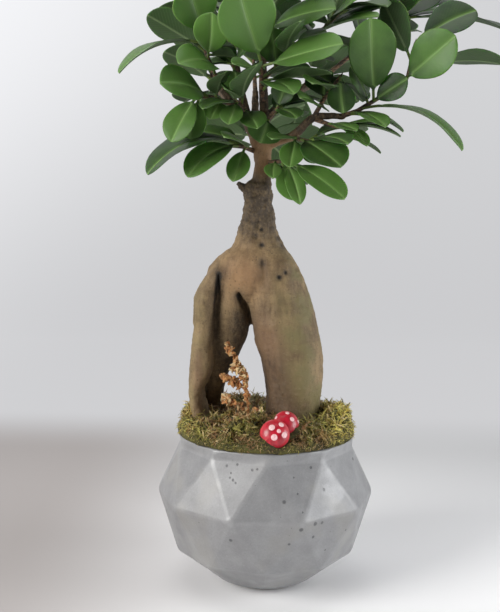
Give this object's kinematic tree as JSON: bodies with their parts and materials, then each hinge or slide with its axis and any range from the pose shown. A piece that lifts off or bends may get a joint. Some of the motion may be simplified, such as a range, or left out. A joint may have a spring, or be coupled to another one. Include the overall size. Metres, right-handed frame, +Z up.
{
  "type": "ficus ginseng bonsai",
  "caption": "Ficus ginseng bonsai: swollen leg-like roots and a glossy leafy crown, standing in moss in a faceted concrete pot with red toadstool ornaments.",
  "frame": {"origin": "centre of the flat base of the pot", "axes": "+Z up, -Y towards the front that the picture shows, +X to the right seen from the front"},
  "size_m": [0.2282, 0.1478, 0.3803],
  "materials": {
    "concrete": "smooth cast concrete, grey, faintly mottled, with a few air pits",
    "soil": "matte dark potting soil",
    "moss": "matte olive and yellow-green moss",
    "bark": "satin olive-brown bark, darker on the neck",
    "leaf": "glossy green leaf with a paler rib, duller grey-green below",
    "dried_plant": "matte dry orange-brown",
    "red_paint": "glossy red paint with white dots",
    "pale_paint": "matte off-white"
  },
  "bodies": {
    "root": {"dried_sprig": "dried_plant", "moss": "moss", "pot": "concrete", "soil": "soil", "spray_back": "leaf", "spray_back_left": "leaf", "spray_back_low": "leaf", "spray_back_right": "leaf", "spray_front_center": "leaf", "spray_inner_left": "leaf", "spray_inner_right": "leaf", "spray_left_low": "leaf", "spray_left_mid": "leaf", "spray_left_top": "leaf", "spray_neck_right": "leaf", "spray_right_back": "leaf", "spray_right_fan": "leaf", "spray_right_long": "leaf", "spray_right_low": "leaf", "spray_right_mid": "leaf", "spray_right_top": "leaf", "spray_stem_center": "leaf", "spray_stem_left": "leaf", "spray_top_center": "leaf", "spray_top_left": "leaf", "toadstool_front_cap": "red_paint", "toadstool_front_stem": "pale_paint", "toadstool_rear_cap": "red_paint", "toadstool_rear_stem": "pale_paint", "trunk": "bark"}
  },
  "joints": []
}
